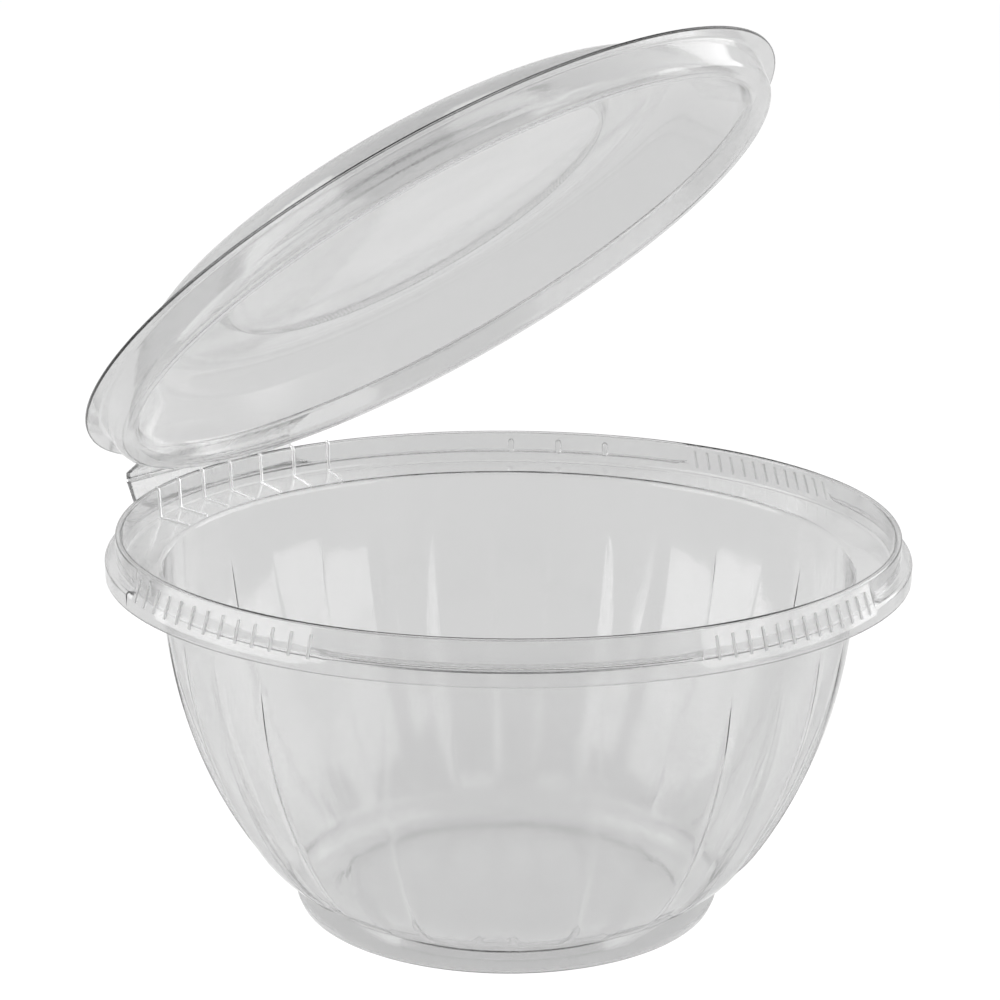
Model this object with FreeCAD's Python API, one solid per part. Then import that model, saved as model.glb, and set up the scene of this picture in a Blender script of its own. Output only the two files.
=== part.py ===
"""Clear round bowl with a hinged lid, pressed from one thin plastic sheet. The lid stands open."""

import FreeCAD, Part
import math
import os

# Frame: millimetres, Z up, origin at the middle of the foot's standing face, hinge towards +Y.
V = FreeCAD.Vector
z_axis = V(0, 0, 1)
origin = V(0, 0, 0)

# Sheet
sheet = 0.5                       # thickness of the pressed sheet

# Rim of the bowl
crest_radius = 83.0               # outside of the top edge
crest_height = 84.2
crest_width = 1.75                # over the turned edge, outside to inside
crest_round = 0.4                 # bend radii are those of the middle of the sheet
channel_flare = 0.35              # the channel wall leans out by this up to the crest
channel_radius = 81.25            # foot of the upright wall round the channel, on its inside
channel_floor = 77.45             # top of the channel floor at that wall
ledge_radius = 73.6               # where the ledge turns down into the bowl
ledge_height = 76.25
ledge_round = 1.0
step_height = 79.25               # top of the step in the skirt
lip_radius = 85.3                 # outside of the lower band
lip_bottom = 75.5
lip_round = 0.6

# Wall of the bowl, one wide arc over one tighter arc
wall_top = 74.0                   # the wall is upright here
wall_arc = 103.6
arc_join = 16.6                   # height where the arcs meet
low_arc = 35.2

# Foot
foot_radius = 45.3                # at the crease under the wall
foot_bulge = 0.8                  # the foot swells by this at half its height
foot_height = 6.0
foot_round = 1.6
foot_tuck = 0.4                   # the upright of the foot starts this far inside the crease
bulge_round = 2.0
crease_round = 0.3
floor_radius = 36.7               # raised middle of the floor
floor_rise = 1.2
floor_slope = 1.3
floor_round = 0.8

# Flutes: upright ribs stay on the wall, the panels between them sink in
flute_count = 16
flute_turn = 2.2                  # from the hinge to the middle of a rib, in degrees
rib_angle = 10.7                  # width of a rib, in degrees round the bowl
flute_top = 65.5                  # the panels start to sink here
flute_full = 41.0                 # and reach their full depth here
flute_fade = 3.0                  # over the foot they come back up to the wall in this height
flute_depth = 1.0
flute_side = 2.2                  # slanted side of a rib, seen from outside, at full depth

# Stiffening ribs over the rim behind the hinge
rim_rib_count = 7
rim_rib_pitch = 6.7               # degrees
rim_rib_width = 0.6
rim_rib_height = 0.4

# Nubs on the channel wall that hold the lid shut
nub_angles = (52.0, 60.0, 68.0)   # from the hinge, on both sides
nub_width = 1.4
nub_height = 3.2
nub_depth = 0.6

# Sloping thumb panels on the skirt, with plain upright ribs
thumb_panels = ((84.5, 40.0), (171.1, 34.5), (263.0, 32.0))    # middle from the hinge, and span
thumb_bottom = 76.8               # the slope meets the lower band here
thumb_rib_count = 13
thumb_rib_width = 0.6
thumb_rib_height = 0.3
thumb_rib_inset = 1.2             # left free over and under each rib
thumb_margin = 2.5                # degrees left free at each end of a panel

# Lid, given as it lies shut
lid_gap = 0.3                     # flange over the ribs on the crest
lid_radius = 82.4                 # outside of the flange
plug_radius = 78.3                # outside of the ring that sits in the channel
plug_depth = 6.65                 # flange to the bottom of that ring, middle to middle
plug_draft = 0.9                  # the ring's sides lean by these over their height
plug_inner_draft = 0.8
plug_width = 4.3
plug_round = 1.9
flange_round = 0.8
dome_start = 2.6                  # the dome starts this far under the flange
dome_start_round = 3.0
dome_height = 10.4                # over the flange
dome_shoulder = 64.5              # where the slope would meet the flat
dome_round = 12.0
stack_gap = 0.4                   # play round the foot of a bowl set on the lid
stack_depth = 2.4
stack_draft = 1.9
stack_round = 0.8

# Hinge: both leaves meet in a fold along X
fold_distance = 87.8              # from the bowl's axis
fold_height = 83.6
fold_bead = 0.4                   # radius of the fold
fold_play = 0.15
leaf_length = 53.0
leaf_knee = 2.1                   # the bowl's leaf turns up this far inside the fold
leaf_round = 0.4
lid_open = 38.6                   # degrees from shut, as the lid stands

half_sheet = sheet / 2
rib_reach = 4.5                   # the rooms round the ribs go this far into the bowl from the wall
rib_over = 0.5                    # and this far out of it
flute_steps = 8                   # heights at which the flutes are set out
flute_over = 8.0                  # the flutes are set out to this far over their top
lap = 1.0                         # pieces joined or cut run into each other by this
bite = 0.15                       # the same where the sheet is thin
tiny = 1e-6
seam_angle = 137.0                # the rim's round faces start and end here, away from its ribs
flange_height = crest_height + rim_rib_height + lid_gap + half_sheet    # middle of the sheet, lid shut


def rz(r, z):
    """Point in the section plane, which is the half plane towards the hinge."""
    return V(0, r, z)


def unit(a, b):
    return (b - a).normalize()


def left_of(d):
    """Direction at the left hand of d in the section plane, seen from +X."""
    return V(0, -d.z, d.y)


def rounded_track(corners):
    """Corners (r, z, bend radius) to a list of straight runs and bends."""
    points = [rz(r, z) for r, z, bend in corners]
    runs = []
    start = points[0]
    for before, here, after, corner in zip(points, points[1:], points[2:], corners[1:-1]):
        bend = corner[2]
        d1, d2 = unit(before, here), unit(here, after)
        turn = math.acos(max(-1.0, min(1.0, d1.dot(d2))))
        reach = bend * math.tan(turn / 2)
        side = 1 if left_of(d1).dot(d2) > 0 else -1
        p1, p2 = here - d1 * reach, here + d2 * reach
        runs.append(("line", start, p1))
        runs.append(("bend", p1, p2, p1 + left_of(d1) * side * bend, side * bend))
        start = p2
    runs.append(("line", start, points[-1]))
    return runs


def offset_edges(runs, shift):
    """The track moved to its left by shift, as edges."""
    edges = []
    for run in runs:
        if run[1].distanceToPoint(run[2]) < tiny:
            continue
        if run[0] == "line":
            a, b = run[1], run[2]
            move = left_of(unit(a, b)) * shift
            edges.append(Part.makeLine(a + move, b + move))
        else:
            a, b, centre, bend = run[1:]
            scale = (bend - shift) / bend
            p, q = centre + (a - centre) * scale, centre + (b - centre) * scale
            middle = unit(centre, (p + q) / 2) * abs(bend - shift)
            edges.append(Part.Arc(p, centre + middle, q).toShape())
    return edges


def band_face(corners, low, high):
    """Face between the track moved by low and by high."""
    runs = rounded_track(corners)
    first, second = offset_edges(runs, low), offset_edges(runs, high)
    ends = []
    for at in (0, -1):
        ends.append(Part.makeLine(first[at].Vertexes[at].Point, second[at].Vertexes[at].Point))
    return Part.Face(Part.Wire(Part.__sortEdges__(first + second + ends)))


def turned(face):
    return face.revolve(origin, z_axis, 360)


def turned_edges(edges):
    """Solid of revolution from an open run of edges and the axis."""
    first, last = edges[0].Vertexes[0].Point, edges[-1].Vertexes[-1].Point
    corners = [last, V(0, 0, last.z), V(0, 0, first.z), first]
    closing = [Part.makeLine(a, b) for a, b in zip(corners, corners[1:]) if a.distanceToPoint(b) > tiny]
    return turned(Part.Face(Part.Wire(Part.__sortEdges__(edges + closing))))


def about_z(shape, degrees):
    copy = shape.copy()
    copy.rotate(origin, z_axis, degrees)
    return copy


def wall_centres():
    """Centres of the two arcs of the bowl's outer wall, in the section plane."""
    wide = rz(ledge_radius - wall_arc, wall_top)
    drop = wall_top - arc_join
    join = rz(wide.y + math.sqrt(wall_arc ** 2 - drop ** 2), arc_join)
    return wide, join - unit(wide, join) * low_arc, join


def wall_point(height, inset):
    """Point of the outer wall at a height, moved in by inset along its normal."""
    wide, tight, join = wall_centres()
    centre, arc = (wide, wall_arc) if height >= arc_join else (tight, low_arc)
    drop = centre.z - height
    point = rz(centre.y + math.sqrt(arc ** 2 - drop ** 2), height)
    return point - unit(centre, point) * inset


def wall_arc_edge(inset, bottom, top):
    """One arc of the wall moved in by inset; it lies on one side of the height where the arcs meet."""
    points = [wall_point(height, inset) for height in (bottom, (bottom + top) / 2, top)]
    return Part.Arc(*points).toShape()


def wall_edges(inset, bottom, top):
    """The wall moved in by inset, from a bottom to a top height."""
    return [wall_arc_edge(inset, bottom, arc_join), wall_arc_edge(inset, arc_join, top)]


def panel_edges(inset, bottom):
    """Section of a sunken panel: it leaves the wall at the top of the flute and comes back over the foot."""
    deep = inset + flute_depth
    start = foot_height + flute_fade
    middle = (flute_full + flute_top) / 2
    rise = [wall_point(flute_full, deep), wall_point(middle, inset + flute_depth / 2), wall_point(flute_top, inset)]
    return [wall_arc_edge(inset, bottom, foot_height),
            Part.makeLine(wall_point(foot_height, inset), wall_point(start, deep)),
            wall_arc_edge(deep, start, arc_join),
            wall_arc_edge(deep, arc_join, flute_full),
            Part.Arc(*rise).toShape()]


def flute_heights():
    """Heights at which the flutes are set out, from under the crease to over the flute's top."""
    low, high = foot_height - 2 * lap, flute_top + flute_over
    return [low + (high - low) * i / flute_steps for i in range(flute_steps + 1)]


def rib_wedge(shrink):
    """Room round one rib, wider towards the bowl's axis, with its sides moved in by shrink."""
    half = math.tan(math.radians(rib_angle / 2))
    outlines = []
    for height in flute_heights():
        outer, deep = wall_point(height, 0), wall_point(height, 1)
        lean = flute_side / flute_depth * (outer - deep).y
        narrow = shrink * math.sqrt(1 + lean ** 2)
        corners = []
        for radius in (outer.y + rib_over, outer.y - rib_reach):
            width = outer.y * half + lean * (outer.y - radius) - narrow
            corners.append((radius, width))
        (far, slim), (near, wide) = corners
        points = [V(-slim, far, height), V(slim, far, height), V(wide, near, height), V(-wide, near, height)]
        outlines.append(Part.makePolygon(points + points[:1]))
    return Part.makeLoft(outlines, True, False)


def fluted_body(inset, bottom, top):
    """Solid inside one rib and half a panel on each side of it, moved in by inset."""
    slice_room = pitch_room(top)
    ribs = turned_edges(wall_edges(inset, bottom, top)).common(slice_room)
    panels = turned_edges(panel_edges(inset, bottom)).common(slice_room)
    upper = ribs.common(Part.makeCylinder(crest_radius, top - flute_top, V(0, 0, flute_top)))
    return panels.fuse([ribs.common(rib_wedge(inset)), upper])


def pitch_room(top):
    """Upright wedge of one flute's pitch, with a rib in its middle."""
    pitch = 360 / flute_count
    room = Part.makeCylinder(crest_radius, top + foot_height, V(0, 0, -foot_height), z_axis, pitch)
    return about_z(room, 90 - pitch / 2)


def foot_body(inset, top):
    """Solid inside the foot, moved in by inset, closed at a height above the crease."""
    side = foot_radius - inset
    corners = [(0, floor_rise + inset, 0),
               (floor_radius, floor_rise + inset, floor_round),
               (floor_radius + floor_slope, inset, floor_round),
               (side - foot_tuck, inset, foot_round - inset),
               (side + foot_bulge, foot_height / 2, bulge_round),
               (side, foot_height, crease_round),
               (side, top, 0)]
    return turned_edges(offset_edges(rounded_track(corners), 0))


def cup():
    """Fluted wall with its foot and floor: one pitch, repeated round the axis."""
    joint = foot_height + 3 * lap
    room = pitch_room(wall_top + lap)
    outside = fluted_body(0, foot_height - lap, wall_top).fuse(foot_body(0, joint).common(room))
    hollow = fluted_body(sheet, foot_height - lap, wall_top + lap)
    inside = hollow.fuse(foot_body(sheet, joint).common(room))
    piece = outside.cut(inside)
    pieces = [about_z(piece, flute_turn + i * 360 / flute_count) for i in range(flute_count)]
    return pieces[0].fuse(pieces[1:]).removeSplitter()


def ledge_rise():
    """Slope of the ledge, up towards the channel wall."""
    return (channel_floor - ledge_height) / (channel_radius + sheet - ledge_radius)


def rim_corners():
    inner = crest_radius - crest_width + half_sheet
    outer = crest_radius - half_sheet
    return [(ledge_radius - half_sheet, wall_top, 0),
            (ledge_radius - half_sheet, ledge_height - half_sheet, ledge_round),
            (channel_radius + half_sheet, channel_floor - half_sheet, ledge_round),
            (inner + channel_flare, crest_height - half_sheet, crest_round),
            (outer, crest_height - half_sheet, crest_round),
            (outer, step_height - half_sheet, lip_round),
            (lip_radius - half_sheet, step_height - half_sheet, lip_round),
            (lip_radius - half_sheet, lip_bottom, 0)]


def sector(face, span, middle):
    """Face turned through a span of degrees, its middle at an angle from the hinge."""
    solid = face.revolve(origin, z_axis, span)
    return about_z(solid, middle - span / 2)


def polygon_face(points):
    corners = [rz(r, z) for r, z in points]
    return Part.Face(Part.makePolygon(corners + corners[:1]))


def thumb_line():
    """Outer face of a thumb panel in section: from under the crest to the lower band."""
    return rz(crest_radius, crest_height - crest_round - half_sheet), rz(lip_radius, thumb_bottom)


def thumb_panel(middle, span):
    """Sloping panel in place of the skirt's step, its two end walls, and the room to clear for them."""
    top, low = thumb_line()
    slope = (low.y - top.y) / (top.z - low.z)
    level = step_height - sheet
    edge = top.y + (top.z - step_height) * slope
    inner = top.y - sheet + (top.z - level) * slope
    panel = polygon_face([(top.y - sheet, top.z), (top.y, top.z), (low.y, low.z), (low.y - sheet, low.z)])
    wall = polygon_face([(top.y - sheet, top.z), (top.y, top.z), (edge, step_height), (low.y, step_height),
                         (low.y, low.z), (low.y - sheet, low.z), (inner, level), (top.y - sheet, level)])
    room = polygon_face([(top.y - sheet - bite, top.z), (low.y + bite, top.z), (low.y + bite, low.z),
                         (top.y - sheet - bite, low.z)])
    side = math.degrees(sheet / crest_radius)
    ends = [sector(wall, side, middle + hand * (span - side) / 2) for hand in (-1, 1)]
    return [sector(panel, span, middle)] + ends, sector(room, span - 2 * side, middle)


def thumb_ribs(middle, span):
    """Plain upright ribs on a thumb panel."""
    top, low = thumb_line()
    slope = unit(top, low)
    rise, sink = left_of(slope) * thumb_rib_height, left_of(slope) * bite
    a, b = top + slope * thumb_rib_inset, low - slope * thumb_rib_inset
    corners = [a - sink, a + rise, b + rise, b - sink]
    face = Part.Face(Part.makePolygon(corners + corners[:1]))
    bar = face.extrude(V(thumb_rib_width, 0, 0))
    bar.translate(V(-thumb_rib_width / 2, 0, 0))
    room = span - 2 * thumb_margin
    step = room / (thumb_rib_count - 1)
    return [about_z(bar, middle - room / 2 + i * step) for i in range(thumb_rib_count)]


def rim_ribs():
    """Thin ribs that follow the rim from its crest to the inner edge of the ledge."""
    corners = rim_corners()
    crest_end = (corners[4][0] - crest_round, corners[4][1], 0)
    ledge_end = (corners[1][0] + ledge_round, corners[1][1] + ledge_round * ledge_rise(), 0)
    path = [ledge_end, corners[2], corners[3], crest_end]
    face = band_face(path, 0, half_sheet + rim_rib_height)
    bar = face.extrude(V(rim_rib_width, 0, 0))
    bar.translate(V(-rim_rib_width / 2, 0, 0))
    first = -(rim_rib_count - 1) / 2
    return [about_z(bar, (first + i) * rim_rib_pitch) for i in range(rim_rib_count)]


def nubs():
    """Small rounded bars on the inside of the channel wall."""
    middle = (crest_height + channel_floor) / 2
    centre = channel_radius + nub_width / 2 - nub_depth
    bar = Part.makeCylinder(nub_width / 2, nub_height, V(0, centre, middle - nub_height / 2))
    return [about_z(bar, hand * angle) for angle in nub_angles for hand in (-1, 1)]


def leaf(corners, circle):
    """Leaf of the hinge from a circle about the axis; its corners lie in the section plane."""
    start = math.sqrt(circle ** 2 - (leaf_length / 2) ** 2) - lap
    face = band_face([(start, corners[0][1], 0)] + corners, -half_sheet, half_sheet)
    plate = face.extrude(V(leaf_length, 0, 0))
    plate.translate(V(-leaf_length / 2, 0, 0))
    return plate.cut(Part.makeCylinder(circle, flange_height + lap))


def bowl_leaf():
    """Leaf from the step of the skirt up to the fold, with the fold's bead."""
    level = step_height - half_sheet
    corners = [(fold_distance - leaf_knee, level, leaf_round), (fold_distance, fold_height, 0)]
    plate = leaf(corners, lip_radius - sheet)
    bead = Part.makeCylinder(fold_bead, leaf_length, V(-leaf_length / 2, fold_distance, fold_height), V(1, 0, 0))
    return plate.fuse(bead)


def rim():
    """Rim with its thumb panels, ribs and nubs, and the bowl's leaf of the hinge."""
    body = about_z(turned(band_face(rim_corners(), -half_sheet, half_sheet)), seam_angle)
    extras = rim_ribs() + nubs() + [bowl_leaf()]
    for middle, span in thumb_panels:
        panel, room = thumb_panel(middle, span)
        body = body.cut(room)
        extras += panel + thumb_ribs(middle, span)
    return body.fuse(extras)


def bowl():
    return cup().fuse(rim()).removeSplitter()


def lid_corners():
    stack_radius = foot_radius + foot_bulge + stack_gap + half_sheet
    middle = plug_radius - half_sheet
    inner = middle - plug_width
    floor = dome_height - stack_depth
    local = [(0, floor, 0), (stack_radius - stack_draft, floor, stack_round),
             (stack_radius, dome_height, stack_round), (dome_shoulder, dome_height, dome_round),
             (inner - plug_inner_draft, -dome_start, dome_start_round), (inner, -plug_depth, plug_round),
             (middle, -plug_depth, plug_round), (middle + plug_draft, 0, flange_round), (lid_radius, 0, 0)]
    return [(r, z + flange_height, bend) for r, z, bend in local]


def lid_leaf():
    """Leaf from the lid's flange to the fold, clear of the bead."""
    knee = rz(fold_distance - leaf_knee / 2, flange_height)
    fold = rz(fold_distance, fold_height)
    end = fold + unit(fold, knee) * (fold_bead + fold_play)
    return leaf([(knee.y, knee.z, leaf_round), (end.y, end.z, 0)], lid_radius - sheet)


def lid():
    face = band_face(lid_corners(), -half_sheet, half_sheet)
    shape = turned(face).fuse(lid_leaf()).removeSplitter()
    shape.rotate(rz(fold_distance, fold_height), V(1, 0, 0), -lid_open)
    return shape


def main():
    os.makedirs("parts", exist_ok=True)
    for name, shape in (("bowl", bowl()), ("lid", lid())):
        if shape.ShapeType == "Compound" and len(shape.Solids) == 1:
            shape = shape.Solids[0]
        shape.exportStep("parts/" + name + ".step")
        box = shape.BoundBox
        print(name, len(shape.Solids), shape.isValid(), round(shape.Volume), "mm3",
              [round(v, 1) for v in (box.XMin, box.YMin, box.ZMin, box.XMax, box.YMax, box.ZMax)])


main()
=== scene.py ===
import bpy
import math
from mathutils import Matrix, Vector


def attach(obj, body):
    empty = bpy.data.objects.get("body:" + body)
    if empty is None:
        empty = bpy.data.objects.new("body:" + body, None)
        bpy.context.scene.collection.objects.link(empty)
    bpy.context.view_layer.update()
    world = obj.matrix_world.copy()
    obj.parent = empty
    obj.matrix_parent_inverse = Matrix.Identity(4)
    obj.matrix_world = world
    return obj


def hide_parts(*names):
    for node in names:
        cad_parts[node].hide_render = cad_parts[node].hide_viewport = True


print("loading the frame")
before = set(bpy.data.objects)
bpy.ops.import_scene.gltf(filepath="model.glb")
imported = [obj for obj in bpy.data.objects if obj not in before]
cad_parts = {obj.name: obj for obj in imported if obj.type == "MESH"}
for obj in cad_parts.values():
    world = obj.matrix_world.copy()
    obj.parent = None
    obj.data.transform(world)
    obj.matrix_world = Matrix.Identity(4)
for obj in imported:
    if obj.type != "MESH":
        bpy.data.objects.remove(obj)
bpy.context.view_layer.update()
mm = 0.001
tiny = 1e-6

# the camera stands where the three circles of the bowl in the photograph put it
cameraSet = {"place": (-0.4687, -0.3702, 0.2477), "heading": -51.518, "pitch": -14.89, "roll": 0.335,
             "lens": 104.9, "sensor": 36, "farthest": 20}

view = bpy.data.cameras.new("camera")
view.lens = cameraSet["lens"]
view.sensor_width = cameraSet["sensor"]
view.clip_end = cameraSet["farthest"]
camera = bpy.data.objects.new("camera", view)
turn = Matrix.Rotation(math.radians(cameraSet["heading"]), 4, "Z")
tilt = Matrix.Rotation(math.radians(90 + cameraSet["pitch"]), 4, "X")
roll = Matrix.Rotation(math.radians(cameraSet["roll"]), 4, "Z")
camera.matrix_world = Matrix.Translation(cameraSet["place"]) @ turn @ tilt @ roll
bpy.context.scene.collection.objects.link(camera)
bpy.context.scene.camera = camera

# sizes in millimetres, angles in degrees from the hinge
sheetSet = {"thickness": 0.5, "flutePitchSteps": 20, "leastSide": 0.35}
rimSet = {"crestOut": 83.0, "crestTop": 84.2, "crestWidth": 1.75, "crestRound": 0.4, "flare": 0.35,
          "channel": 81.25, "channelFloor": 77.45, "ledge": 73.6, "ledgeTop": 76.25, "ledgeRound": 1.0,
          "step": 79.25, "lip": 85.3, "lipBottom": 75.5, "lipRound": 0.6}
wallSet = {"top": 74.0, "wideArc": 103.6, "join": 16.6, "tightArc": 35.2, "footWall": 6.2,
           "rowSteps": (5, 15, 12, 4)}
footSet = {"radius": 45.3, "bulge": 0.8, "height": 6.0, "round": 1.6, "tuck": 0.4, "bulgeRound": 2.0,
           "floor": 36.7, "rise": 1.2, "slope": 1.3, "floorRound": 0.8}
fluteSet = {"count": 16, "turn": 2.2, "ribAngle": 10.7, "top": 65.5, "full": 41.0, "fade": 3.0, "depth": 1.0,
            "side": 2.2}
thumbSet = {"panels": ((84.5, 40.0), (171.1, 34.5), (263.0, 32.0)), "bottom": 76.8, "ribs": 13, "margin": 2.5,
            "width": 0.6, "height": 0.3, "inset": 1.2, "root": 0.12, "softEdge": 0.14}
rimRibSet = {"count": 7, "pitch": 6.7, "width": 0.6, "height": 0.4, "softEdge": 0.14}
half = sheetSet["thickness"] / 2


def roundedLine(corners, steps=4, stepAngle=0.8):
    # corners are (r, z, bend); straight runs get points close to both ends, so that they shade flat
    points = [Vector(corner[:2]) for corner in corners]
    line = [points[0]]
    start = points[0]
    for before, here, after, corner in zip(points, points[1:], points[2:], corners[1:-1]):
        inward = (here - before).normalized()
        outward = (after - here).normalized()
        angle = inward.angle(outward)
        reach = corner[2] * math.tan(angle / 2)
        first, last = here - inward * reach, here + outward * reach
        line += runPoints(start, first)
        side = 1 if inward.x * outward.y - inward.y * outward.x > 0 else -1
        centre = first + Vector((-inward.y, inward.x)) * side * corner[2]
        arm = first - centre
        count = max(2, round(steps * angle / stepAngle))
        for i in range(1, count + 1):
            swing = side * angle * i / count
            line.append(centre + Vector((arm.x * math.cos(swing) - arm.y * math.sin(swing),
                                         arm.x * math.sin(swing) + arm.y * math.cos(swing))))
        start = last
    return line + runPoints(start, points[-1])


def runPoints(start, end, near=0.35):
    length = (end - start).length
    if length < tiny:
        return []
    places = [1.0]
    if length > 4 * near:
        places = [near / length, 0.5, 1 - near / length, 1.0]
    return [start.lerp(end, place) for place in places]


def wallCentre(height):
    wide = Vector((rimSet["ledge"] - wallSet["wideArc"], wallSet["top"]))
    if height >= wallSet["join"]:
        return wide, wallSet["wideArc"]
    drop = wallSet["top"] - wallSet["join"]
    join = Vector((wide.x + math.sqrt(wallSet["wideArc"] ** 2 - drop ** 2), wallSet["join"]))
    return join - (join - wide).normalized() * wallSet["tightArc"], wallSet["tightArc"]


def wallPoint(height, inset):
    centre, arc = wallCentre(height)
    point = Vector((centre.x + math.sqrt(arc ** 2 - (centre.y - height) ** 2), height))
    return point - (point - centre).normalized() * inset


def fluteShare(height):
    # the panels sink evenly from the top of the flute, and come back up to the wall over the foot
    drop = (fluteSet["top"] - height) / (fluteSet["top"] - fluteSet["full"])
    climb = (height - footSet["height"]) / fluteSet["fade"]
    return max(0.0, min(1.0, drop, climb))


def plainRow(point):
    return {"place": point, "sink": Vector((0, 0)), "thumb": Vector((0, 0)), "share": 0.0, "knurl": 0.0}


def footRows():
    side = footSet["radius"] - half
    corners = [(0, footSet["rise"] + half, 0),
               (footSet["floor"], footSet["rise"] + half, footSet["floorRound"]),
               (footSet["floor"] + footSet["slope"], half, footSet["floorRound"]),
               (side - footSet["tuck"], half, footSet["round"] - half),
               (side + footSet["bulge"], footSet["height"] / 2, footSet["bulgeRound"]),
               (side, wallSet["footWall"], 0)]
    return [plainRow(point) for point in roundedLine(corners)]


def wallRows():
    # from the crease over the foot up to the ledge, with rows where the flutes bend
    stops = [wallSet["footWall"], footSet["height"] + fluteSet["fade"], fluteSet["full"], fluteSet["top"],
             wallSet["top"]]
    heights = []
    for low, high, steps in zip(stops, stops[1:], wallSet["rowSteps"]):
        heights += [low + (high - low) * i / steps for i in range(1, steps + 1)]
    rows = []
    for height in heights:
        row = plainRow(wallPoint(height, half))
        row["share"] = fluteShare(height)
        row["sink"] = wallPoint(height, half + row["share"] * fluteSet["depth"]) - row["place"]
        rows.append(row)
    return rows[:-1]


def rimRows():
    inner = rimSet["crestOut"] - rimSet["crestWidth"] + half
    outer = rimSet["crestOut"] - half
    level = rimSet["step"] - half
    top = rimSet["crestTop"] - half
    lip = rimSet["lip"] - half
    corners = [(rimSet["ledge"] - half, wallSet["top"], 0),
               (rimSet["ledge"] - half, rimSet["ledgeTop"] - half, rimSet["ledgeRound"]),
               (rimSet["channel"] + half, rimSet["channelFloor"] - half, rimSet["ledgeRound"]),
               (inner + rimSet["flare"], top, rimSet["crestRound"]),
               (outer, top, rimSet["crestRound"]),
               (outer, level, rimSet["lipRound"]),
               (lip, level, rimSet["lipRound"]),
               (lip, rimSet["lipBottom"], 0)]
    line = roundedLine(corners)
    rows = [plainRow(point) for point in line]
    # on a thumb panel the sheet slopes straight from under the crest to the lower band
    begin = top - rimSet["crestRound"]
    slack = 1e-4
    on = [i for i, point in enumerate(line)
          if point.x > outer - slack and thumbSet["bottom"] - slack < point.y < begin + slack]
    steps = [0.0]
    for i, j in zip(on, on[1:]):
        steps.append(steps[-1] + (line[j] - line[i]).length)
    high, low = Vector((outer, begin)), Vector((lip, thumbSet["bottom"]))
    for i, step in zip(on, steps):
        rows[i]["thumb"] = high.lerp(low, step / steps[-1]) - line[i]
    return rows


lidSet = {"gap": 0.3, "radius": 82.4, "plug": 78.3, "plugDepth": 6.65, "draft": 0.9, "innerDraft": 0.8,
          "plugWidth": 4.3, "plugRound": 1.9, "flangeRound": 0.8, "domeStart": 2.6, "domeStartRound": 3.0,
          "dome": 10.4, "shoulder": 64.5, "domeRound": 12.0, "stackGap": 0.4, "stackDepth": 2.4,
          "stackDraft": 1.9, "stackRound": 0.8, "knurlOver": 0.6, "knurlFade": 1.2, "knurlCount": 240,
          "bendSteps": 6}
flangeLevel = rimSet["crestTop"] + rimRibSet["height"] + lidSet["gap"] + half


def lidRows():
    stack = footSet["radius"] + footSet["bulge"] + lidSet["stackGap"] + half
    outer = lidSet["plug"] - half
    inner = outer - lidSet["plugWidth"]
    dome = lidSet["dome"]
    knurlIn = stack - lidSet["stackDraft"] - lidSet["knurlOver"] - lidSet["knurlFade"]
    knurlOut = stack + lidSet["knurlOver"] + lidSet["knurlFade"]
    corners = [(0, dome - lidSet["stackDepth"], 0),
               (knurlIn, dome - lidSet["stackDepth"], 0),
               (stack - lidSet["stackDraft"], dome - lidSet["stackDepth"], lidSet["stackRound"]),
               (stack, dome, lidSet["stackRound"]),
               (knurlOut, dome, 0),
               (lidSet["shoulder"], dome, lidSet["domeRound"]),
               (inner - lidSet["innerDraft"], -lidSet["domeStart"], lidSet["domeStartRound"]),
               (inner, -lidSet["plugDepth"], lidSet["plugRound"]),
               (outer, -lidSet["plugDepth"], lidSet["plugRound"]),
               (outer + lidSet["draft"], 0, lidSet["flangeRound"]),
               (lidSet["radius"], 0, 0)]
    rows = []
    raisedCorners = [(r, z + flangeLevel, bend) for r, z, bend in corners]
    for point in roundedLine(raisedCorners, lidSet["bendSteps"]):
        row = plainRow(point)
        # the knurl is only on the wall of the stacking recess and fades out just beside it
        if stack - lidSet["stackDraft"] - lidSet["knurlOver"] < point.x < stack + lidSet["knurlOver"]:
            row["knurl"] = 1.0
        rows.append(row)
    return rows


def lineMesh(name, rows):
    mesh = bpy.data.meshes.new(name)
    mesh.from_pydata([(row["place"].x * mm, 0, row["place"].y * mm) for row in rows],
                     [(i, i + 1) for i in range(len(rows) - 1)], [])
    for key in ("sink", "thumb"):
        layer = mesh.attributes.new(key, "FLOAT_VECTOR", "POINT")
        for item, row in zip(layer.data, rows):
            item.vector = (row[key].x * mm, 0, row[key].y * mm)
    for key in ("share", "knurl"):
        layer = mesh.attributes.new(key, "FLOAT", "POINT")
        for item, row in zip(layer.data, rows):
            item.value = row[key]
    return newPiece(name, mesh)


def put(tree, kind, wires=(), **settings):
    made = tree.nodes.new(kind)
    for key, value in settings.items():
        setattr(made, key, value)
    for key, value in dict(wires).items():
        if isinstance(value, bpy.types.NodeSocket):
            tree.links.new(value, made.inputs[key])
        else:
            made.inputs[key].default_value = value
    return made


def sums(tree, operation, first, second=0.0, third=0.0):
    made = put(tree, "ShaderNodeMath", {0: first, 1: second, 2: third}, operation=operation)
    return made.outputs[0]


def ramp(tree, value, low, high, toLow=0.0, toHigh=1.0):
    wires = {"Value": value, "From Min": low, "From Max": high, "To Min": toLow, "To Max": toHigh}
    return put(tree, "ShaderNodeMapRange", wires).outputs["Result"]


def split(tree, vector):
    return put(tree, "ShaderNodeSeparateXYZ", {0: vector}).outputs


def blend(tree, share, low, high, way="MIX"):
    wires = {0: share, 6: low, 7: high}
    return put(tree, "ShaderNodeMix", wires, data_type="RGBA", blend_type=way).outputs[2]


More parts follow.
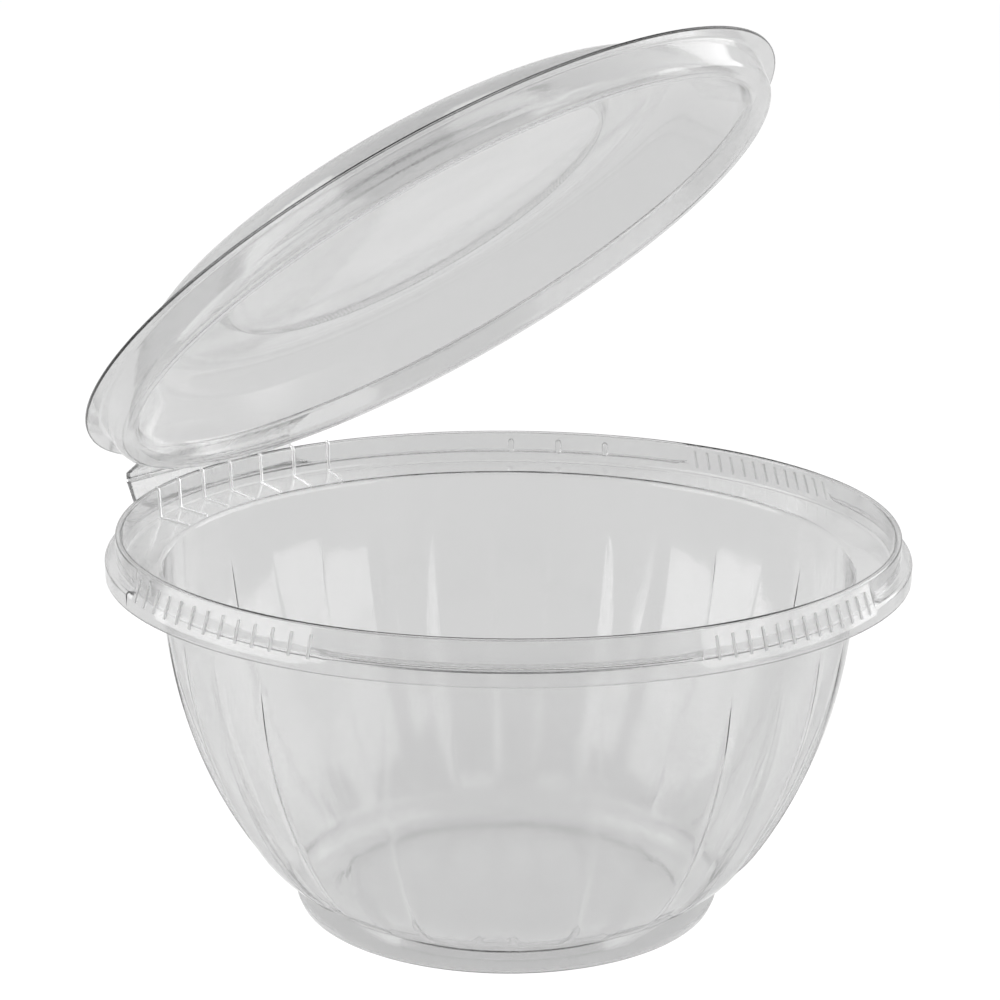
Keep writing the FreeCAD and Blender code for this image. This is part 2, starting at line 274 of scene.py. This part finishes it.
def stored(tree, geometry, label, value):
    wires = {"Geometry": geometry, "Name": label, "Value": value}
    return put(tree, "GeometryNodeStoreNamedAttribute", wires, data_type="FLOAT", domain="POINT").outputs[0]


def finishTree(tree, geometry, material):
    real = put(tree, "GeometryNodeRealizeInstances", {"Geometry": geometry}).outputs[0]
    finished = put(tree, "GeometryNodeSetMaterial", {"Geometry": real, "Material": material}).outputs[0]
    put(tree, "NodeGroupOutput", {0: finished})
    return tree


def newTree(name, inputs):
    tree = bpy.data.node_groups.new(name, "GeometryNodeTree")
    tree.interface.new_socket("Geometry", in_out="INPUT", socket_type="NodeSocketGeometry")
    for label, kind in inputs:
        tree.interface.new_socket(label, in_out="INPUT", socket_type=kind)
    tree.interface.new_socket("Geometry", in_out="OUTPUT", socket_type="NodeSocketGeometry")
    return tree, put(tree, "NodeGroupInput").outputs


def turnedSheetTree():
    whole, number, finish = "NodeSocketInt", "NodeSocketFloat", "NodeSocketMaterial"
    tree, given = newTree("turned sheet", [("Flutes", whole), ("Steps", whole), ("Rib Half Angle", number),
                                           ("Side Width", number), ("Least Side", number), ("Turn", number),
                                           ("Thumb 1", number), ("Thumb 2", number), ("Thumb 3", number),
                                           ("Half Span 1", number), ("Half Span 2", number),
                                           ("Half Span 3", number), ("Material", finish)])
    line = given["Geometry"]
    rowCount = put(tree, "GeometryNodeAttributeDomainSize", {"Geometry": line}).outputs["Point Count"]
    columnCount = sums(tree, "MULTIPLY", given["Flutes"], given["Steps"])
    grid = put(tree, "GeometryNodeMeshGrid", {"Size X": 1.0, "Size Y": 1.0, "Vertices X": rowCount,
                                              "Vertices Y": sums(tree, "ADD", columnCount, 1.0)})
    spot = split(tree, put(tree, "GeometryNodeInputPosition").outputs[0])
    row = sums(tree, "ROUND", sums(tree, "MULTIPLY", sums(tree, "ADD", spot["X"], 0.5),
                                   sums(tree, "SUBTRACT", rowCount, 1.0)))
    column = sums(tree, "ROUND", sums(tree, "MULTIPLY", sums(tree, "ADD", spot["Y"], 0.5), columnCount))

    def fromLine(value, kind):
        wires = {"Geometry": line, "Index": row}
        made = put(tree, "GeometryNodeSampleIndex", wires, data_type=kind, domain="POINT")
        tree.links.new(value, made.inputs["Value"])
        return made.outputs["Value"]

    def named(label, kind):
        made = put(tree, "GeometryNodeInputNamedAttribute", {"Name": label}, data_type=kind)
        return made.outputs["Attribute"]

    place = split(tree, fromLine(put(tree, "GeometryNodeInputPosition").outputs[0], "FLOAT_VECTOR"))
    sink = split(tree, fromLine(named("sink", "FLOAT_VECTOR"), "FLOAT_VECTOR"))
    thumb = split(tree, fromLine(named("thumb", "FLOAT_VECTOR"), "FLOAT_VECTOR"))
    share = fromLine(named("share", "FLOAT"), "FLOAT")
    knurl = fromLine(named("knurl", "FLOAT"), "FLOAT")

    # a rib stands in the middle of each pitch; its slanted sides widen as the panels sink
    turns = sums(tree, "FLOOR", sums(tree, "ADD", sums(tree, "DIVIDE", column, given["Steps"]), 0.5))
    local = sums(tree, "SUBTRACT", column, sums(tree, "MULTIPLY", turns, given["Steps"]))
    reach = sums(tree, "DIVIDE", sums(tree, "ABSOLUTE", local), sums(tree, "MULTIPLY", given["Steps"], 0.5))
    ribEnds, sideEnds = 0.4, 0.7
    onRib = ramp(tree, reach, 0.0, ribEnds)
    onSide = ramp(tree, reach, ribEnds, sideEnds)
    onPanel = ramp(tree, reach, sideEnds, 1.0)
    leastRadius = 0.02
    sideWidth = sums(tree, "DIVIDE", sums(tree, "MULTIPLY", given["Side Width"], share),
                     sums(tree, "MAXIMUM", place["X"], leastRadius))
    sideAngle = sums(tree, "MAXIMUM", sums(tree, "MULTIPLY", sideWidth, 180 / math.pi), given["Least Side"])
    pitch = sums(tree, "DIVIDE", 360.0, given["Flutes"])
    panelAngle = sums(tree, "SUBTRACT", sums(tree, "SUBTRACT", sums(tree, "MULTIPLY", pitch, 0.5),
                                             given["Rib Half Angle"]), sideAngle)
    swing = sums(tree, "MULTIPLY", onRib, given["Rib Half Angle"])
    swing = sums(tree, "MULTIPLY_ADD", onSide, sideAngle, swing)
    swing = sums(tree, "MULTIPLY_ADD", onPanel, panelAngle, swing)
    swing = sums(tree, "MULTIPLY", swing, sums(tree, "SIGN", local))
    degrees = sums(tree, "MULTIPLY_ADD", turns, pitch, sums(tree, "ADD", swing, given["Turn"]))

    mask = None
    panelFade = 0.25
    for number in ("1", "2", "3"):
        away = sums(tree, "SUBTRACT", degrees, given["Thumb " + number])
        off = sums(tree, "ABSOLUTE", sums(tree, "WRAP", away, 180.0, -180.0))
        inside = ramp(tree, sums(tree, "SUBTRACT", given["Half Span " + number], off), -panelFade, panelFade)
        mask = inside if mask is None else sums(tree, "MAXIMUM", mask, inside)

    radius = sums(tree, "MULTIPLY_ADD", sink["X"], onSide, place["X"])
    radius = sums(tree, "MULTIPLY_ADD", thumb["X"], mask, radius)
    height = sums(tree, "MULTIPLY_ADD", sink["Z"], onSide, place["Z"])
    height = sums(tree, "MULTIPLY_ADD", thumb["Z"], mask, height)
    angle = sums(tree, "RADIANS", degrees)
    across = sums(tree, "MULTIPLY", sums(tree, "MULTIPLY", radius, sums(tree, "SINE", angle)), -1.0)
    along = sums(tree, "MULTIPLY", radius, sums(tree, "COSINE", angle))
    spotAt = put(tree, "ShaderNodeCombineXYZ", {"X": across, "Y": along, "Z": height}).outputs[0]
    marked = stored(tree, grid.outputs["Mesh"], "knurl", knurl)
    marked = stored(tree, marked, "around", degrees)
    moved = put(tree, "GeometryNodeSetPosition", {"Geometry": marked, "Position": spotAt}).outputs[0]
    # the grid's first and last columns meet, and so do all points on the axis
    joined = put(tree, "GeometryNodeMergeByDistance", {"Geometry": moved, "Distance": 0.00001}).outputs[0]
    smooth = put(tree, "GeometryNodeSetShadeSmooth", {"Geometry": joined}).outputs[0]
    return finishTree(tree, smooth, given["Material"])


def repeatRoundTree():
    whole, number, finish = "NodeSocketInt", "NodeSocketFloat", "NodeSocketMaterial"
    tree, given = newTree("repeat round the axis", [("Count", whole), ("Pitch", number), ("Middle", number),
                                                    ("Material", finish)])
    points = put(tree, "GeometryNodeMeshLine", {"Count": given["Count"], "Offset": (0, 0, 0)}).outputs[0]
    steps = sums(tree, "SUBTRACT", put(tree, "GeometryNodeInputIndex").outputs[0],
                 sums(tree, "MULTIPLY", sums(tree, "SUBTRACT", given["Count"], 1.0), 0.5))
    angle = sums(tree, "RADIANS", sums(tree, "MULTIPLY_ADD", steps, given["Pitch"], given["Middle"]))
    turned = put(tree, "ShaderNodeCombineXYZ", {"Z": angle}).outputs[0]
    copies = put(tree, "GeometryNodeInstanceOnPoints", {"Points": points, "Instance": given["Geometry"],
                                                        "Rotation": turned}).outputs[0]
    return finishTree(tree, copies, given["Material"])


def applyTree(piece, tree, values, thickness=0.0):
    nodes = piece.modifiers.new("nodes", "NODES")
    nodes.node_group = tree
    sockets = {item.name: item.identifier for item in tree.interface.items_tree if item.in_out == "INPUT"}
    for label, value in values.items():
        nodes[sockets[label]] = value
    if thickness:
        addThickness(piece, thickness)
    return bake(piece)


def addThickness(piece, thickness):
    wall = piece.modifiers.new("thickness", "SOLIDIFY")
    wall.thickness = thickness
    wall.offset = 0
    wall.use_even_offset = True


def bake(piece):
    bpy.context.view_layer.update()
    mesh = bpy.data.meshes.new_from_object(piece.evaluated_get(bpy.context.evaluated_depsgraph_get()))
    mesh.name = piece.name
    piece.modifiers.clear()
    piece.data = mesh
    return piece


def softenEdges(piece, width):
    soft = piece.modifiers.new("soft edge", "BEVEL")
    soft.width = width * mm
    soft.segments = 2
    bake(piece)


def bandMesh(name, outline, width, turnedBy=0.0):
    # outline is a closed run of (y, z) points, given a width along X and turned about Z, in degrees
    verts, faces = [], []
    count = len(outline)
    for x in (-width / 2, width / 2):
        verts += [(x * mm, point[0] * mm, point[1] * mm) for point in outline]
    faces.append(tuple(range(count)))
    faces.append(tuple(reversed(range(count, 2 * count))))
    for i in range(count):
        j = (i + 1) % count
        faces.append((j, i, count + i, count + j))
    mesh = bpy.data.meshes.new(name)
    mesh.from_pydata(verts, [], faces)
    mesh.transform(Matrix.Rotation(math.radians(turnedBy), 4, "Z"))
    return mesh


def ringPoints(middle, radius, sides):
    angles = [math.radians(360 // sides * i) for i in range(sides)]
    return [(middle[0] + radius * math.cos(angle), middle[1] + radius * math.sin(angle)) for angle in angles]


def newPiece(name, mesh):
    piece = bpy.data.objects.new(name, mesh)
    bpy.context.scene.collection.objects.link(piece)
    return piece


def joinMeshes(name, meshes):
    verts, faces = [], []
    for mesh in meshes:
        start = len(verts)
        verts += [vertex.co.copy() for vertex in mesh.vertices]
        faces += [[start + i for i in face.vertices] for face in mesh.polygons]
    joined = bpy.data.meshes.new(name)
    joined.from_pydata(verts, [], faces)
    return joined


rippleSet = {"waveDetail": 2.0, "waveRough": 0.45, "lineDetail": 3.0, "lineRough": 0.6, "hazeFrom": 0.35,
             "hazeTo": 0.75}


def rippleGroup():
    # slow waves and fine drawing lines of a pressed sheet, as a height and a mask
    group = bpy.data.node_groups.new("pressed sheet ripple", "ShaderNodeTree")
    for label, value in (("Wave Scale", 60.0), ("Line Scale", 900.0), ("Line Share", 0.25)):
        group.interface.new_socket(label, in_out="INPUT", socket_type="NodeSocketFloat").default_value = value
    group.interface.new_socket("Height", in_out="OUTPUT", socket_type="NodeSocketFloat")
    group.interface.new_socket("Haze", in_out="OUTPUT", socket_type="NodeSocketFloat")
    given = put(group, "NodeGroupInput").outputs
    spot = put(group, "ShaderNodeTexCoord").outputs["Object"]
    wave = put(group, "ShaderNodeTexNoise", {"Vector": spot, "Scale": given["Wave Scale"],
                                             "Detail": rippleSet["waveDetail"],
                                             "Roughness": rippleSet["waveRough"]}).outputs["Fac"]
    fine = put(group, "ShaderNodeTexNoise", {"Vector": spot, "Scale": given["Line Scale"],
                                             "Detail": rippleSet["lineDetail"],
                                             "Roughness": rippleSet["lineRough"]}).outputs["Fac"]
    height = sums(group, "MULTIPLY_ADD", fine, given["Line Share"], wave)
    haze = ramp(group, wave, rippleSet["hazeFrom"], rippleSet["hazeTo"])
    put(group, "NodeGroupOutput", {"Height": height, "Haze": haze})
    return group


def clearSheet(name, ripple, values):
    material = bpy.data.materials.new(name)
    material.use_nodes = True
    tree = material.node_tree
    tree.nodes.clear()
    sheet = put(tree, "ShaderNodeGroup", node_tree=ripple)
    sheet.inputs["Wave Scale"].default_value = values["waveScale"]
    sheet.inputs["Line Scale"].default_value = values["lineScale"]
    sheet.inputs["Line Share"].default_value = values["lineShare"]
    height = sheet.outputs["Height"]
    if values.get("knurl"):
        height = sums(tree, "ADD", height, knurlHeight(tree, values["knurl"]))
    bump = put(tree, "ShaderNodeBump", {"Strength": values["bump"], "Distance": values["bumpDepth"],
                                        "Height": height})
    path = put(tree, "ShaderNodeLightPath").outputs
    facing = put(tree, "ShaderNodeLayerWeight", {"Blend": values["edgeBlend"]}).outputs["Facing"]
    # darker at grazing angles: painted shade, the dark reflection of the surroundings put into the sheet's
    # colour
    edge = ramp(tree, facing, values["edgeFrom"], 1.0)
    # the first sheet that is looked through greys what is behind it, the ones behind it only a little
    first = blend(tree, edge, values["tint"], values["paintedEdgeShadeTint"])
    later = blend(tree, edge, values["deepTint"], values["deepPaintedEdgeShadeTint"])
    # the sheet is darker towards the bottom: painted shade round the foot and over the bowl's floor, for the
    # darkness where the bowl stands
    spot = split(tree, put(tree, "ShaderNodeTexCoord").outputs["Object"])
    low = ramp(tree, spot["Z"], values["footShadeFrom"], values["footShadeTo"], 1.0, 0.0)
    first = blend(tree, low, first, values["paintedFootShadeTint"], "MULTIPLY")
    later = blend(tree, low, later, values["paintedFootShadeDeepTint"], "MULTIPLY")
    colour = blend(tree, path["Is Camera Ray"], later, first)
    rough = ramp(tree, sheet.outputs["Haze"], 0.0, 1.0, values["rough"], values["rough"] * values["hazeRough"])
    body = put(tree, "ShaderNodeBsdfPrincipled", {"Base Color": colour, "Roughness": rough,
                                                  "IOR": values["ior"], "Transmission Weight": 1.0,
                                                  "Normal": bump.outputs[0]})
    # a ray that has passed many sheets goes straight on, and so does the light of the lamps
    deep = sums(tree, "GREATER_THAN", path["Transmission Depth"], values["deepest"])
    straight = sums(tree, "MAXIMUM", path["Is Shadow Ray"], deep)
    through = put(tree, "ShaderNodeBsdfTransparent", {"Color": values["shadowTint"]})
    mixed = put(tree, "ShaderNodeMixShader", {0: straight, 1: body.outputs[0], 2: through.outputs[0]})
    put(tree, "ShaderNodeOutputMaterial", {"Surface": mixed.outputs[0]})
    return material


def knurlHeight(tree, depth):
    # fine upright ribs on the wall of the stacking recess
    mark = put(tree, "ShaderNodeAttribute", attribute_name="knurl").outputs["Fac"]
    around = put(tree, "ShaderNodeAttribute", attribute_name="around").outputs["Fac"]
    wave = sums(tree, "SINE", sums(tree, "MULTIPLY", around, lidSet["knurlCount"] * math.pi / 180))
    return sums(tree, "MULTIPLY", sums(tree, "MULTIPLY", wave, mark), depth)


print("making the materials")
# the edge tints are painted shade for the dark reflection at grazing angles
clearSet = {"tint": (0.37, 0.37, 0.37, 1), "paintedEdgeShadeTint": (0.16, 0.16, 0.16, 1),
            "deepTint": (0.95, 0.95, 0.95, 1), "deepPaintedEdgeShadeTint": (0.72, 0.72, 0.72, 1),
            "edgeBlend": 0.5, "edgeFrom": 0.72,
            # painted shade: the sheet is greyed towards the foot for the darkness where the bowl stands
            "paintedFootShadeTint": (0.84, 0.84, 0.84, 1), "paintedFootShadeDeepTint": (0.95, 0.95, 0.95, 1),
            "footShadeFrom": 0.004, "footShadeTo": 0.022,
            "rough": 0.05, "hazeRough": 2.2, "ior": 1.45, "bump": 0.12, "bumpDepth": 0.001,
            "waveScale": 55.0, "lineScale": 1400.0, "lineShare": 0.06,
            "shadowTint": (0.965, 0.967, 0.967, 1), "deepest": 9.5}
ripple = rippleGroup()
bowlClear = clearSheet("clear bowl sheet", ripple, clearSet)
lidClear = clearSheet("clear lid sheet", ripple, dict(clearSet, waveScale=42.0, knurl=1.0,
                                                      paintedEdgeShadeTint=(0.26, 0.26, 0.26, 1)))
ribClear = clearSheet("clear ribs", ripple, dict(clearSet, rough=0.3, paintedEdgeShadeTint=(0.3, 0.3, 0.3, 1)))
foldClear = clearSheet("clear fold", ripple, dict(clearSet, bump=0.35, rough=0.2, waveScale=260.0,
                                                  tint=(0.48, 0.48, 0.48, 1), paintedEdgeShadeTint=(0.36, 0.36, 0.36, 1)))

print("turning the bowl")
turnedSheet = turnedSheetTree()
sheetValues = {"Flutes": fluteSet["count"], "Steps": sheetSet["flutePitchSteps"],
               "Rib Half Angle": fluteSet["ribAngle"] / 2, "Side Width": fluteSet["side"] * mm,
               "Least Side": sheetSet["leastSide"], "Turn": fluteSet["turn"]}
for i, (middle, span) in enumerate(thumbSet["panels"], 1):
    sheetValues["Thumb " + str(i)] = middle
    sheetValues["Half Span " + str(i)] = span / 2
bowlSheet = lineMesh("bowlSheet", footRows() + wallRows() + rimRows())
applyTree(bowlSheet, turnedSheet, dict(sheetValues, Material=bowlClear), sheetSet["thickness"] * mm)

print("turning the lid")
lidSheet = lineMesh("lidSheet", lidRows())
applyTree(lidSheet, turnedSheet, dict(sheetValues, Material=lidClear), sheetSet["thickness"] * mm)

print("bending the hinge")
# each leaf starts a little inside the edge of its own sheet, so that the two run into one another
hingeSet = {"distance": 87.8, "height": 83.6, "bead": 0.4, "beadSides": 15, "play": 0.15, "length": 53.0,
            "knee": 2.1, "round": 0.4, "open": 38.6, "bowlStart": 0.6, "bowlNext": 0.2, "lidStart": 0.3,
            "lidNext": 0.1}
foldSpot = Vector((0, hingeSet["distance"] * mm, hingeSet["height"] * mm))
lidTurn = (Matrix.Translation(foldSpot) @ Matrix.Rotation(math.radians(-hingeSet["open"]), 4, "X")
           @ Matrix.Translation(-foldSpot))


def leafMesh(name, circle, level, path, columns=48):
    # each column starts on a circle about the axis and follows the same path of (y, z) points to the fold
    verts, faces = [], []
    rows = len(path) + 1
    for i in range(columns + 1):
        x = hingeSet["length"] * (i / columns - 0.5)
        start = math.sqrt(circle ** 2 - x ** 2)
        verts += [(x * mm, y * mm, z * mm) for y, z in [(start, level)] + [tuple(point) for point in path]]
    for i in range(columns):
        for j in range(rows - 1):
            a = i * rows + j
            faces.append((a, a + 1, a + rows + 1, a + rows))
    mesh = bpy.data.meshes.new(name)
    mesh.from_pydata(verts, [], faces)
    return mesh


fold = Vector((hingeSet["distance"], hingeSet["height"]))
stepLevel = rimSet["step"] - half
knee = hingeSet["distance"] - hingeSet["knee"]
bowlPath = roundedLine([(rimSet["lip"] - hingeSet["bowlNext"], stepLevel, 0),
                        (knee, stepLevel, hingeSet["round"]),
                        (fold.x, fold.y, 0)])
bowlCircle = rimSet["lip"] - hingeSet["bowlStart"]
bowlLeaf = newPiece("bowlLeaf", leafMesh("bowlLeaf", bowlCircle, stepLevel, bowlPath[1:]))
addThickness(bowlLeaf, sheetSet["thickness"] * mm)
bake(bowlLeaf)

lidKnee = Vector((hingeSet["distance"] - hingeSet["knee"] / 2, flangeLevel))
lidEnd = fold + (lidKnee - fold).normalized() * (hingeSet["bead"] + hingeSet["play"])
lidPath = roundedLine([(lidSet["radius"] + hingeSet["lidNext"], flangeLevel, 0),
                       (lidKnee.x, lidKnee.y, hingeSet["round"]),
                       (lidEnd.x, lidEnd.y, 0)])
lidCircle = lidSet["radius"] - hingeSet["lidStart"]
lidLeaf = newPiece("lidLeaf", leafMesh("lidLeaf", lidCircle, flangeLevel, lidPath[1:]))
addThickness(lidLeaf, sheetSet["thickness"] * mm)
bake(lidLeaf)

bead = ringPoints(fold, hingeSet["bead"], hingeSet["beadSides"])
foldBead = newPiece("foldBead", bandMesh("foldBead", bead, hingeSet["length"]))

print("raising ribs and nubs")
repeatRound = repeatRoundTree()
topLevel = rimSet["crestTop"] - half
inner = rimSet["crestOut"] - rimSet["crestWidth"] + half
ledgeIn = rimSet["ledge"] - half
channelRise = rimSet["channelFloor"] - rimSet["ledgeTop"]
rise = channelRise / (rimSet["channel"] + sheetSet["thickness"] - rimSet["ledge"])
ribPath = roundedLine([(ledgeIn + rimSet["ledgeRound"],
                        rimSet["ledgeTop"] - half + rimSet["ledgeRound"] * rise, 0),
                       (rimSet["channel"] + half, rimSet["channelFloor"] - half, rimSet["ledgeRound"]),
                       (inner + rimSet["flare"], topLevel, rimSet["crestRound"]),
                       (rimSet["crestOut"] - half - rimSet["crestRound"], topLevel, 0)])
raised = []
for i, point in enumerate(ribPath):
    before, after = ribPath[max(0, i - 1)], ribPath[min(len(ribPath) - 1, i + 1)]
    ahead = (after - before).normalized()
    raised.append(point + Vector((-ahead.y, ahead.x)) * (half + rimRibSet["height"]))
rimRibs = newPiece("rimRibs", bandMesh("rimRibs", ribPath + raised[::-1], rimRibSet["width"]))
softenEdges(rimRibs, rimRibSet["softEdge"])
applyTree(rimRibs, repeatRound, {"Count": rimRibSet["count"], "Pitch": rimRibSet["pitch"], "Middle": 0.0,
                                 "Material": ribClear})

thumbTop = Vector((rimSet["crestOut"], topLevel - rimSet["crestRound"]))
thumbLow = Vector((rimSet["lip"], thumbSet["bottom"]))
down = (thumbLow - thumbTop).normalized()
out = Vector((-down.y, down.x))
ribTop, ribLow = thumbTop + down * thumbSet["inset"], thumbLow - down * thumbSet["inset"]
section = [ribTop - out * thumbSet["root"], ribTop + out * thumbSet["height"],
           ribLow + out * thumbSet["height"], ribLow - out * thumbSet["root"]]
ribMeshes = []
for middle, span in thumbSet["panels"]:
    room = span - 2 * thumbSet["margin"]
    for i in range(thumbSet["ribs"]):
        angle = middle - room / 2 + room * i / (thumbSet["ribs"] - 1)
        ribMeshes.append(bandMesh("rib", section, thumbSet["width"], angle))
thumbRibs = newPiece("thumbRibs", joinMeshes("thumbRibs", ribMeshes))
softenEdges(thumbRibs, thumbSet["softEdge"])
thumbRibs.data.materials.append(ribClear)

nubSet = {"first": 60.0, "pitch": 8.0, "count": 3, "width": 1.4, "height": 3.2, "depth": 0.6,
          "sides": 12}
nubLine = ringPoints((0, 0), nubSet["width"] / 2, nubSet["sides"])
nubMiddle = (rimSet["crestTop"] + rimSet["channelFloor"]) / 2
nubCentre = rimSet["channel"] + nubSet["width"] / 2 - nubSet["depth"]


def nubMesh(angle):
    verts, faces = [], []
    count = len(nubLine)
    levels = [(-0.5, 0.55), (-0.42, 0.9), (-0.3, 1.0), (0.3, 1.0), (0.42, 0.9), (0.5, 0.55)]
    for level, share in levels:
        verts += [(x * share * mm, (nubCentre + y * share) * mm, (nubMiddle + level * nubSet["height"]) * mm)
                  for x, y in nubLine]
    for j in range(len(levels) - 1):
        for i in range(count):
            a, b = j * count + i, j * count + (i + 1) % count
            faces.append((a, b, b + count, a + count))
    faces.append(tuple(reversed(range(count))))
    faces.append(tuple(range((len(levels) - 1) * count, len(levels) * count)))
    mesh = bpy.data.meshes.new("nub")
    mesh.from_pydata(verts, [], faces)
    mesh.transform(Matrix.Rotation(math.radians(angle), 4, "Z"))
    return mesh


nubs = newPiece("nubs", joinMeshes("nubs", [nubMesh(nubSet["first"]), nubMesh(-nubSet["first"])]))
applyTree(nubs, repeatRound, {"Count": nubSet["count"], "Pitch": nubSet["pitch"], "Middle": 0.0,
                              "Material": bowlClear})

bowlPieces = [bowlSheet, bowlLeaf, foldBead, rimRibs, thumbRibs, nubs]
lidPieces = [lidSheet, lidLeaf]
for piece in lidPieces:
    piece.data.transform(lidTurn)
for piece in (bowlLeaf, lidLeaf, foldBead):
    piece.data.materials.clear()
    piece.data.materials.append(foldClear)
    piece.data.polygons.foreach_set("use_smooth", [True] * len(piece.data.polygons))

for piece in bowlPieces:
    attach(piece, "bowl")
for piece in lidPieces:
    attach(piece, "lid")
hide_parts("bowl")
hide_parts("lid")
for piece in bowlPieces + lidPieces:
    print(piece.name, sum(len(face.vertices) - 2 for face in piece.data.polygons), "triangles")

print("setting the floor and the lamps")
floorSet = {"size": 12.0, "level": -0.0003, "colour": (0.9, 0.9, 0.9, 1), "glow": 0.978, "lit": 0.09,
            "grain": 900.0, "shine": 0.1, "roughFrom": 0.75, "roughTo": 0.9}


def floorMaterial():
    # seen directly or through the sheet the floor glows up to white, and what the lamps add keeps the shadow
    material = bpy.data.materials.new("pale floor")
    material.use_nodes = True
    tree = material.node_tree
    tree.nodes.clear()
    spot = put(tree, "ShaderNodeTexCoord").outputs["Object"]
    grain = put(tree, "ShaderNodeTexNoise", {"Vector": spot, "Scale": floorSet["grain"],
                                             "Detail": 2.0}).outputs["Fac"]
    rough = ramp(tree, grain, 0.0, 1.0, floorSet["roughFrom"], floorSet["roughTo"])
    plain = put(tree, "ShaderNodeBsdfPrincipled", {"Base Color": floorSet["colour"],
                                                   "Specular IOR Level": floorSet["shine"],
                                                   "Roughness": rough})
    glow = put(tree, "ShaderNodeEmission", {"Color": (1, 1, 1, 1), "Strength": floorSet["glow"]})
    part = put(tree, "ShaderNodeMixShader", {0: floorSet["lit"], 2: plain.outputs[0]})
    both = put(tree, "ShaderNodeAddShader", {0: part.outputs[0], 1: glow.outputs[0]})
    path = put(tree, "ShaderNodeLightPath").outputs
    seen = sums(tree, "MAXIMUM", path["Is Camera Ray"], sums(tree, "MAXIMUM", path["Is Glossy Ray"],
                                                             path["Is Transmission Ray"]))
    mixed = put(tree, "ShaderNodeMixShader", {0: seen, 1: plain.outputs[0], 2: both.outputs[0]})
    put(tree, "ShaderNodeOutputMaterial", {"Surface": mixed.outputs[0]})
    return material


reach = floorSet["size"]
floorMesh = bpy.data.meshes.new("floor")
level = floorSet["level"]
floorMesh.from_pydata([(-reach, -reach, level), (reach, -reach, level), (reach, reach, level),
                       (-reach, reach, level)], [], [(0, 1, 2, 3)])
floor = newPiece("floor", floorMesh)
floor.data.materials.append(floorMaterial())

skySet = {"soft": 0.35, "whiteTo": 0.4, "darkFrom": 0.75, "overhead": 0.2}
world = bpy.data.worlds.new("studio")
bpy.context.scene.world = world
world.use_nodes = True
worldTree = world.node_tree
worldTree.nodes.clear()
worldPath = put(worldTree, "ShaderNodeLightPath").outputs
worldSeen = sums(worldTree, "MAXIMUM", worldPath["Is Camera Ray"],
                 sums(worldTree, "MAXIMUM", worldPath["Is Glossy Ray"], worldPath["Is Transmission Ray"]))
# straight on the room is white; what the sheet mirrors or bends sees it darken overhead, alike from every side
skySpot = split(worldTree, put(worldTree, "ShaderNodeTexCoord").outputs["Generated"])
overhead = ramp(worldTree, skySpot["Z"], skySet["whiteTo"], skySet["darkFrom"], 1.0, skySet["overhead"])
skyShown = sums(worldTree, "MAXIMUM", overhead, worldPath["Is Camera Ray"])
softSky = put(worldTree, "ShaderNodeBackground", {"Color": (1, 1, 1, 1), "Strength": skySet["soft"]})
whiteSky = put(worldTree, "ShaderNodeBackground", {"Color": (1, 1, 1, 1), "Strength": skyShown})
skyMix = put(worldTree, "ShaderNodeMixShader", {0: worldSeen, 1: softSky.outputs[0], 2: whiteSky.outputs[0]})
put(worldTree, "ShaderNodeOutputWorld", {"Surface": skyMix.outputs[0]})

lampSet = {
    "leftLamp": {"place": (-0.687, 0.656, 0.5), "size": (1.15, 1.1), "power": 10.5},
    "rightLamp": {"place": (0.614, -0.724, 0.5), "size": (1.9, 1.1), "power": 13.5},
    "topLamp": {"place": (0.15, 0.1, 1.2), "size": (0.7, 0.7), "power": 3.0},
}
lampsAimAt = Vector((0, 0, 0.07))
for name, values in lampSet.items():
    lamp = bpy.data.lights.new(name, "AREA")
    lamp.shape = "RECTANGLE"
    lamp.size, lamp.size_y = values["size"]
    lamp.energy = values["power"]
    holder = bpy.data.objects.new(name, lamp)
    holder.location = values["place"]
    aim = lampsAimAt - Vector(values["place"])
    holder.rotation_euler = aim.to_track_quat("-Z", "Y").to_euler()
    bpy.context.scene.collection.objects.link(holder)

bpy.context.scene.view_settings.view_transform = "Standard"

print("finishing")
